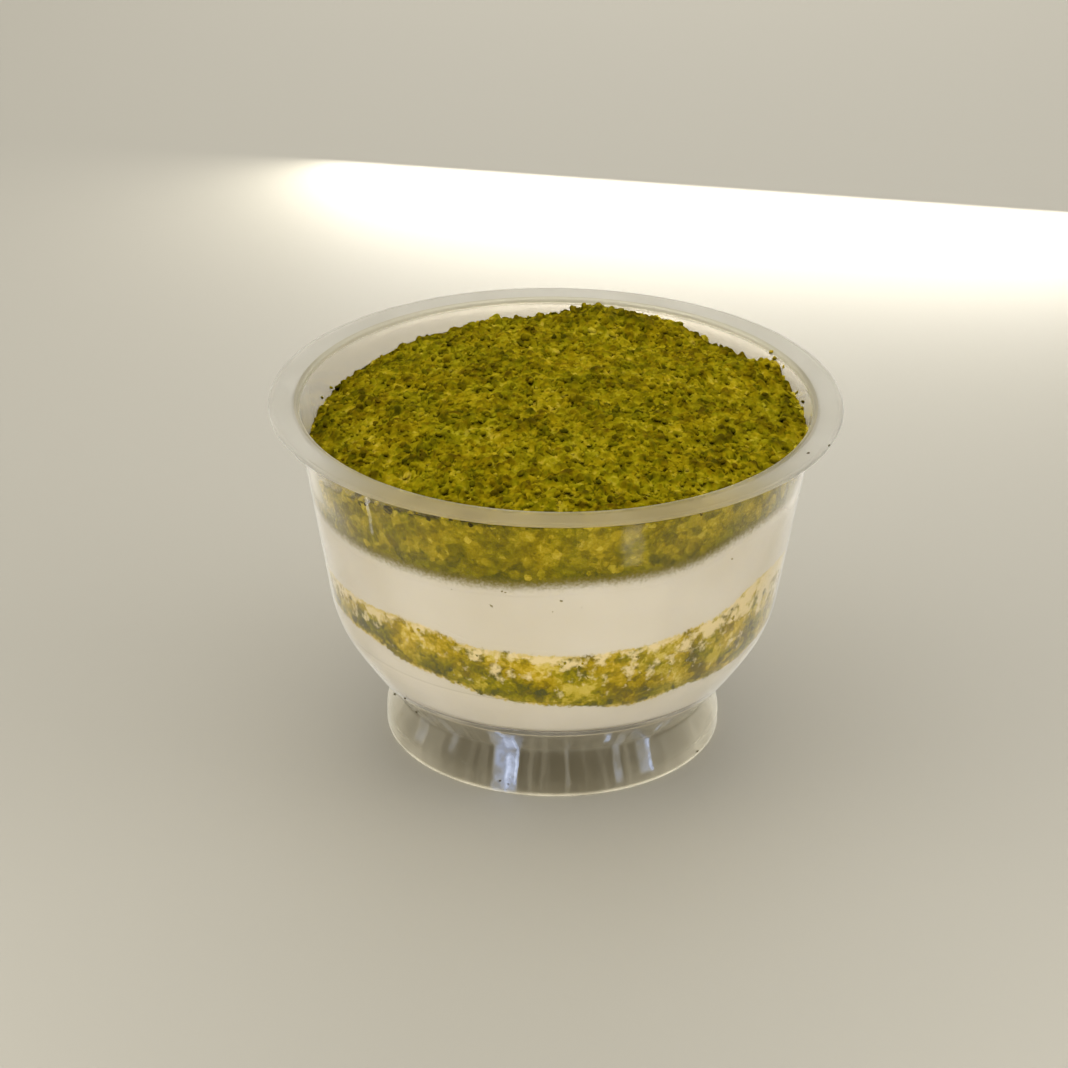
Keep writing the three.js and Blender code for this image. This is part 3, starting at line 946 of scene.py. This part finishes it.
gridLine = np.arange(-heap["halfWidth"], heap["halfWidth"] + 1e-6, heap["gridStep"])
gridX, gridY = gridLine[:, None], gridLine[None, :]
aim = heapHeight(gridX, gridY)
ground = aim - heap["baseDrop"]
ground += 0.25 * waves(79, 7)(gridX, gridY)
groundTone = np.zeros_like(ground)
groundHue = np.zeros_like(ground)


def dropCrumb(x, y, radius, rise, stretch, turn, tone, hue):
    # beds an uneven ball in the crumbs below, and gives its middle's height
    wide = radius * max(stretch, 1)
    low = np.searchsorted(gridLine, [x - wide, y - wide])
    high = np.searchsorted(gridLine, [x + wide, y + wide])
    part = (slice(low[0], high[0]), slice(low[1], high[1]))
    dx, dy = gridLine[part[0], None] - x, gridLine[None, part[1]] - y
    across = (dx * math.cos(turn) + dy * math.sin(turn)) / stretch
    beside = (dy * math.cos(turn) - dx * math.sin(turn)) * stretch
    lift = radius**2 - across**2 - beside**2
    under = lift > 0
    if not under.any():
        return heapHeight(x, y)
    patch = ground[part]
    middle = patch[under].mean() + rise * radius
    surface = np.where(under, middle + heap["bedFlatness"] * np.sqrt(np.maximum(lift, 0)), -100)
    seen = surface > patch
    patch[seen] = surface[seen]
    groundTone[part][seen] = tone
    groundHue[part][seen] = hue
    return middle


def spreadOver(count, seed, margin=0.4):
    # evenly spread places over the heap
    draw = np.random.default_rng(seed)
    place = np.arange(count) + 0.5
    share = np.sqrt(place / count)
    turn = place * math.pi * (3 - math.sqrt(5)) + draw.normal(size=count) * 0.02
    azimuth = np.degrees(turn) % 360
    reach = innerRadius(heapEdge(azimuth)) - margin
    x, y = around(azimuth, reach * share)
    x = x + draw.normal(size=count) * heap["jitter"]
    y = y + draw.normal(size=count) * heap["jitter"]
    order = draw.permutation(count)
    return x[order], y[order], draw


patchTone, patchHue = waves(76, 5), waves(80, 6)


def goldenClump(x, y):
    cx, cy, size = heap["goldenClump"]
    return np.exp(-((x - cx) ** 2 + (y - cy) ** 2) / size**2)


def smoothed(grid, axis, step=1):
    return (np.roll(grid, step, axis) + 2 * grid + np.roll(grid, -step, axis)) / 4


bx, by, draw = spreadOver(heap["bedCrumbs"], 11, -0.4)
sizes = someSizes(draw, heap["bedSizes"], len(bx), 1.6)
bedTones = 0.46 + draw.normal(size=len(bx)) * 0.09 + 0.1 * patchTone(bx, by) + 0.3 * goldenClump(bx, by)
bedHues = 0.5 + draw.normal(size=len(bx)) * 0.25 + 0.2 * patchHue(bx, by) + 0.5 * goldenClump(bx, by)
shapes = draw.uniform(0.75, 1.3, len(bx))
angles = draw.uniform(0, math.pi, len(bx))
for a, b, size, shape, angle, tone, hue in zip(bx, by, sizes, shapes, angles, bedTones, bedHues):
    dropCrumb(a, b, size, heap["bedRise"], shape, angle, tone, hue)
for axis in (0, 1, 0, 1):
    ground = smoothed(ground, axis)  # worn edges
coreGround, coreTone, coreHue = ground.copy(), groundTone.copy(), groundHue.copy()

# kinds of loose crumbs: fineness of their mesh, seed and tone
wanted = [("large", 3, 12, 0.53), ("gold", 2, 13, 0.64), ("olive", 2, 16, 0.42), ("small", 1, 14, 0.56)]
dropped = []
for kind, _, seed, _ in wanted:
    count = heap[kind + "Count"]
    x, y, draw = spreadOver(count, seed)
    size = someSizes(draw, heap[kind + "Sizes"], count, 1.5)
    dropped += [(kind, a, b, c) for a, b, c in zip(x, y, size)]
draw = np.random.default_rng(15)
dropped = [dropped[i] for i in draw.permutation(len(dropped))]
middles = [dropCrumb(a, b, c, heap["rise"], 1, 0, 0, 0) for _, a, b, c in dropped]
evenGround = ground.copy()
for step in (1, 2, 4, 8):
    for axis in (0, 1):
        evenGround = smoothed(evenGround, axis, step)
inBowl = np.hypot(gridX, gridY) < 40
print("heap stands over its form by", round(float((ground - aim)[inBowl].mean()), 2), "mm, core by",
      round(float((coreGround - aim)[inBowl].mean()), 2))


def gridPlace(x, short=1.001):
    return np.clip((x + heap["halfWidth"]) / heap["gridStep"], 0, len(gridLine) - short)


def groundAt(grid, x, y):
    # between the grid's points
    fx, fy = gridPlace(x), gridPlace(y)
    ix, iy = fx.astype(int), fy.astype(int)
    tx, ty = fx - ix, fy - iy
    near = grid[ix, iy] * (1 - ty) + grid[ix, iy + 1] * ty
    far = grid[ix + 1, iy] * (1 - ty) + grid[ix + 1, iy + 1] * ty
    return near * (1 - tx) + far * tx


# painted light: paler where crumbs lie deeper than those around, lightening the shade in hollows
def hollowPaintedLight(x, y, z):
    return heap["hollowPaintedLight"] * np.clip(groundAt(evenGround, x, y) - z, -0.4, 0.8)


def discOfRings(rings):
    # ring k has six points more than the last, so the points lie evenly; unit disc, and its triangles
    shares = [np.zeros(1)] + [np.full(6 * k, k / rings) for k in range(1, rings + 1)]
    turn = [np.zeros(1)] + [np.arange(6 * k) * 360 / (6 * k) for k in range(1, rings + 1)]
    faces = []
    for k in range(1, rings + 1):
        outer, inner = 1 + 3 * k * (k - 1), 1 + 3 * (k - 1) * (k - 2) if k > 1 else 0
        i = np.arange(k)
        for sector in range(6):
            far = outer + (sector * k + i) % (6 * k)
            next_ = outer + (sector * k + i + 1) % (6 * k)
            near = inner + (sector * (k - 1) + i) % max(6 * (k - 1), 1)
            after = inner + (sector * (k - 1) + i + 1) % max(6 * (k - 1), 1)
            faces.append(np.stack([near, far, next_], 1))
            faces.append(np.stack([near, next_, after], 1)[:-1])
    return np.concatenate(shares), np.concatenate(turn), np.concatenate(faces)


def makeHeapCore():
    rings, rows = heap["coreRings"], heap["coreRows"]
    share, turn, faces = discOfRings(rings)
    reach = innerRadius(heapEdge(turn)) + layers["crumbsIntoWall"]
    x, y = around(turn, reach * share)
    top = groundAt(coreGround, x, y)
    sides = 6 * rings
    azimuths = np.arange(sides) * 360 / sides
    top[-sides:] = np.maximum(top[-sides:], heapEdge(azimuths) - heap["coreEdge"])
    ez = top[-sides:]
    bottom = upperSeam(azimuths) - layers["fringe"] - 0.4
    down = np.linspace(0, 1, rows + 1)[1:, None]
    side = ez[None, :] + (bottom - ez)[None, :] * down
    into = layers["crumbsIntoWall"] - layers["sink"] * (down > 0.999)
    wx, wy = around(azimuths[None, :], innerRadius(side) + into)
    points = np.concatenate([
        np.stack([x, y, top], -1), np.stack([wx, wy, side], -1).reshape(-1, 3), [[0, 0, bottom.mean()]],
    ])
    step = np.arange(sides)
    onward = (step + 1) % sides
    start = len(x) - sides
    band = start + ringFaces(rows + 1, sides)[:, [0, 3, 2, 1]]
    shift = start + rows * sides
    base = np.stack([np.full(sides, len(points) - 1), shift + onward, shift + step], 1)
    obj = addMesh("heap_core", points, [faces, band, base], dryFinish, sideFinish)
    px, py, pz = points.T
    # the top takes each bedded crumb's own tone plus painted light that pales it in hollows, the side a
    # mottled one that darkens at its foot
    over = pz - upperSeam(azimuthOf(px, py))
    low = np.clip(over / 4.5, 0, 1)
    sideTone = 0.27 + 0.26 * low + 0.04 * waves(75, 5)(px, py, pz)
    sideHue = 0.1 + 0.5 * low + 0.15 * waves(82, 5)(px, py, pz)
    isTop = np.arange(len(points)) < len(x)
    ix, iy = [np.rint(gridPlace(p, 1)).astype(int) for p in (px, py)]
    addValues(obj, "tone", np.where(isTop, coreTone[ix, iy] + hollowPaintedLight(px, py, pz), sideTone))
    addValues(obj, "hue", np.where(isTop, coreHue[ix, iy], sideHue))
    addValues(obj, "bare", 0.1 - over)
    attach(obj, "root")
    return obj


heapCore = makeHeapCore()
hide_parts("crumb_topping")

for kind, level, seed, tone in wanted:
    chosen = [(a, b, m, c) for (k, a, b, c), m in zip(dropped, middles) if k == kind]
    x, y, z, size = np.array(chosen).T
    draw = np.random.default_rng(seed + 20)
    tones = tone + draw.normal(size=len(x)) * 0.08 + 0.1 * patchTone(x, y) + 0.3 * goldenClump(x, y)
    hues = 0.5 + draw.normal(size=len(x)) * 0.22 + 0.2 * patchHue(x, y) + (tone - 0.55)
    hues = hues + 0.5 * goldenClump(x, y)
    piece = scatterCrumbs(kind + "_top_crumbs", level, np.stack([x, y, z], 1), size, tones, hues, dryFinish,
                          seed + 30, lift=hollowPaintedLight)

# crumbs that press against the wall
sideCrumbs = {
    "count": 1150,
    "shares": (0.16, 1.0),
    "sizes": (0.3, 1.15),
    "bare": -2.0,
}
draw = np.random.default_rng(21)
count = sideCrumbs["count"]
shares, sizes = sideCrumbs["shares"], sideCrumbs["sizes"]
x, y, z, radius, share = alongWall(draw, count, upperSeam, heapEdge, shares, sizes, 0.5)
tones = 0.42 + 0.2 * share + draw.normal(size=count) * 0.12 + 0.05 * waves(77, 5)(x, y, z)
hues = 0.38 + 0.36 * share + draw.normal(size=count) * 0.25
tones += 0.2 * (radius - sizes[0])  # larger ones are paler
piece = scatterCrumbs("pressed_side_crumbs", 2, np.stack([x, y, z], 1), radius, tones, hues, sideFinish, 22,
                      (0.8, 1.2), 0.15)
addValues(piece, "bare", sideCrumbs["bare"])

# single crumbs and specks: how far out they lie, then azimuth, height, size, tone and hue
footHeights = [0, 2.6, 3.9, 7.2, 9, 12, 15]
footOutside = [28.55, 28.55, 28.15, 26.65, 28.3, 30.9, 33.0]
specks = {
    "far wall": (lambda z: innerRadius(z) - 0.15, [
        (119.4, 59.2, 0.35, 1.0, 1.0), (117.6, 58.6, 0.4, 0.95, 1.0), (116.8, 57.6, 0.9, 0.95, 1.2),
        (115.6, 57.3, 0.8, 0.85, 1.1), (118.2, 57.2, 0.7, 0.8, 0.9), (113.4, 58.3, 0.35, 0.9, 0.8),
        (98.3, 56.6, 0.25, 0.2, 1.0), (97.6, 55.6, 0.3, 0.8, 0.8), (104, 56.5, 0.3, 0.8, 0.5),
        (-112.8, 54.0, 0.3, 0.7, 0.3), (-107.4, 53.8, 0.3, 0.7, 0.5),
    ]),
    "in cream": (lambda z: innerRadius(z) - 0.02, [
        (-14.7, 41.1, 0.26, 0.15, 0.4), (-11.2, 44.1, 0.26, 0.1, 0.3), (-12.0, 44.2, 0.2, 0.2, 0.3),
        (1.3, 42.9, 0.26, 0.0, 0.5), (-0.5, 40.8, 0.16, 0.35, 0.5), (43.9, 45.1, 0.24, 0.2, 0.5),
        (6, 41.6, 0.12, 0.35, 0.5), (-24, 43.0, 0.14, 0.35, 0.5), (19, 43.8, 0.12, 0.35, 0.5),
    ]),
    "on foot": (lambda z: np.interp(z, footHeights, footOutside), [
        (59.1, 0.9, 0.22, -0.1, 1.0), (-17.7, 2.2, 0.16, -0.3, 0.8), (-15.0, 1.8, 0.16, -0.3, 0.8),
        (-81, 5.6, 0.16, 0.0, 0.6), (-48.7, 14.6, 0.18, 0.0, 0.6), (-68.6, 7.0, 0.16, 0.1, 0.6),
        (-52.4, 9.7, 0.18, 0.0, 0.6), (-68.1, 5.1, 0.14, 0.1, 0.6),
    ]),
    "on rim": (lambda z: 43.45 + (z - 59.8) * 40, [
        (62.5, 59.85, 0.2, -0.1, 0.6), (67.6, 59.9, 0.16, -0.4, 0.6),
    ]),
}
dryStrays, soaked = [], []
for where, (radiusAt, found) in specks.items():
    for azimuth, z, size, tone, hue in found:
        x, y = around(azimuth, radiusAt(z))
        (soaked if where == "in cream" else dryStrays).append((x, y, z, size, tone, hue))
for name, spots, finish, seed in (("stray_crumbs", dryStrays, dryFinish, 90),
                                  ("soaked_specks", soaked, sideFinish, 91)):
    spots = np.array(spots)
    size, tone, hue = spots[:, 3:].T
    piece = scatterCrumbs(name, 2, spots[:, :3], size, tone, hue, finish, seed, (0.6, 1.3), 9)
    addValues(piece, "bare", -0.15)  # half sunk in cream

# floor, light and camera
room = {
    "floorColour": (168, 163, 150),
    "floorRoughness": 0.6,
    "floorSide": 3000,
    "skyLow": (0.68, 0.68, 0.67, 1),
    "skyHigh": (1.18, 1.18, 1.16, 1),
    "mirroredLow": (0.14, 0.12, 0.07, 1),
    "mirroredHigh": (0.42, 0.37, 0.25, 1),
    "mirroredBehind": (0.5, 0.48, 0.42, 1),  # low behind the cup, seen along its outline
    "nearLight": 0.42,  # the room is dimmer on the side that the cup is seen from
    "windowColour": (0.9, 0.95, 1.0),
}
floorFinish, _, floorShader = newFinish("floor_finish")
floorShader.inputs["Base Color"].default_value = asLight(room["floorColour"])
floorShader.inputs["Roughness"].default_value = room["floorRoughness"]
side = room["floorSide"]
floor = addMesh("floor", [(-side, -side, 0), (side, -side, 0), (side, side, 0), (-side, side, 0)],
                [np.array([[0, 1, 2, 3]])], floorFinish)
floor.visible_glossy = False

world = bpy.data.worlds.new("pale_room")
world.use_nodes = True
bpy.context.scene.world = world
sky = world.node_tree
backing = sky.nodes["Background"]
_, skyY, skyZ = splitNode(sky, addNode(sky, "TexCoord").outputs["Generated"])
seenSky = addRamp(sky, skyZ, [room["skyLow"], room["skyHigh"]])
# the plastic mirrors a dimmer room
upShare = mathNode(sky, "MULTIPLY_ADD", skyZ, 0.5, 0.5)
mirrored = addRamp(sky, upShare, [room["mirroredLow"], room["mirroredHigh"]])
behind = times(sky, rise(sky, skyY, 0.55, 0.85), rise(sky, skyZ, 0.05, -0.15))
mirrored = colourMix(sky, behind, mirrored, room["mirroredBehind"])
glossy = addNode(sky, "LightPath").outputs["Is Glossy Ray"]
sky.links.new(colourMix(sky, glossy, seenSky, mirrored), backing.inputs["Color"])
sky.links.new(rise(sky, skyY, -1.0, 0.1, room["nearLight"], 1.0), backing.inputs["Strength"])


def poseOf(rightward, upward, backward, spot):
    pose = np.eye(4)
    pose[:3, :3] = np.stack([rightward, upward, backward], 1)
    pose[:3, 3] = spot * metres
    return Matrix(pose.tolist())


def addLamp(name, spot, target, width, height, power, colour, shown="all"):
    # shown: "gloss" lamps are only mirrored, "fill" lamps only light
    light = bpy.data.lights.new(name, "AREA")
    light.shape = "RECTANGLE"
    light.size, light.size_y = width * metres, height * metres
    light.energy, light.color = power, colour
    lamp = bpy.data.objects.new(name, light)
    bpy.context.scene.collection.objects.link(lamp)
    spot, target = np.array(spot, float), np.array(target, float)
    back = (spot - target) / np.linalg.norm(spot - target)
    right = np.cross((0, 0, 1), back)
    right /= np.linalg.norm(right)
    lamp.matrix_world = poseOf(right, np.cross(back, right), back, spot)
    lamp.visible_camera = False
    lamp.visible_diffuse = shown != "gloss"
    lamp.visible_glossy = shown != "fill"
    lamp.visible_transmission = shown == "all"


addLamp("soft_top", (-120, -30, 640), (0, 0, 50), 640, 640, 0.66, (1.0, 0.99, 0.96))
lowLamps = [
    ("left", -80, 0.95, (1.0, 0.99, 0.96)),
    ("right", 82, 1.15, (0.97, 0.98, 1.0)),
    ("back", 175, 0.7, (1.0, 0.99, 0.97)),
]
for name, azimuth, power, colour in lowLamps:
    x, y = around(azimuth, 520)
    addLamp("low_" + name, (x, y, 215), (0, 0, 35), 380, 330, power, colour, "fill")
for name, azimuth in (("left", -50), ("right", 40), ("back", 170)):
    x, y = around(azimuth, 260)
    addLamp("under_" + name, (x, y, 20), (0, 0, 20), 200, 30, 0.36, (1.0, 0.98, 0.93), "fill")
for name, azimuth, width, power in (("side", 68, 70, 0.28), ("left", -96, 120, 0.2), ("far", 150, 200, 0.22)):
    x, y = around(azimuth, 800)
    addLamp("window_" + name, (x, y, 420), (0, 0, 60), width, 820, power, room["windowColour"], "gloss")

view = {
    "distance": 569.78,
    "elevation": math.radians(26.627),
    "sideways": -3.424,
    "aimHeight": 34.436,
    "roll": math.radians(0.498),
    "lens": 113.717,
}
scene = bpy.context.scene
cameraData = bpy.data.cameras.new("photo_view")
cameraData.sensor_width = 36
cameraData.lens = view["lens"]
cameraData.clip_start = 0.01
camera = bpy.data.objects.new("photo_view", cameraData)
scene.collection.objects.link(camera)
cosE, sinE = math.cos(view["elevation"]), math.sin(view["elevation"])
ahead, upward = np.array([0, cosE, -sinE]), np.array([0, sinE, cosE])
rightward = np.array([1.0, 0, 0])
cosR, sinR = math.cos(view["roll"]), math.sin(view["roll"])
place = np.array([view["sideways"], -view["distance"] * cosE, view["aimHeight"] + view["distance"] * sinE])
right, up = rightward * cosR + upward * sinR, upward * cosR - rightward * sinR
camera.matrix_world = poseOf(right, up, -ahead, place)
scene.camera = camera
scene.view_settings.view_transform = "Standard"
print("light and camera set")
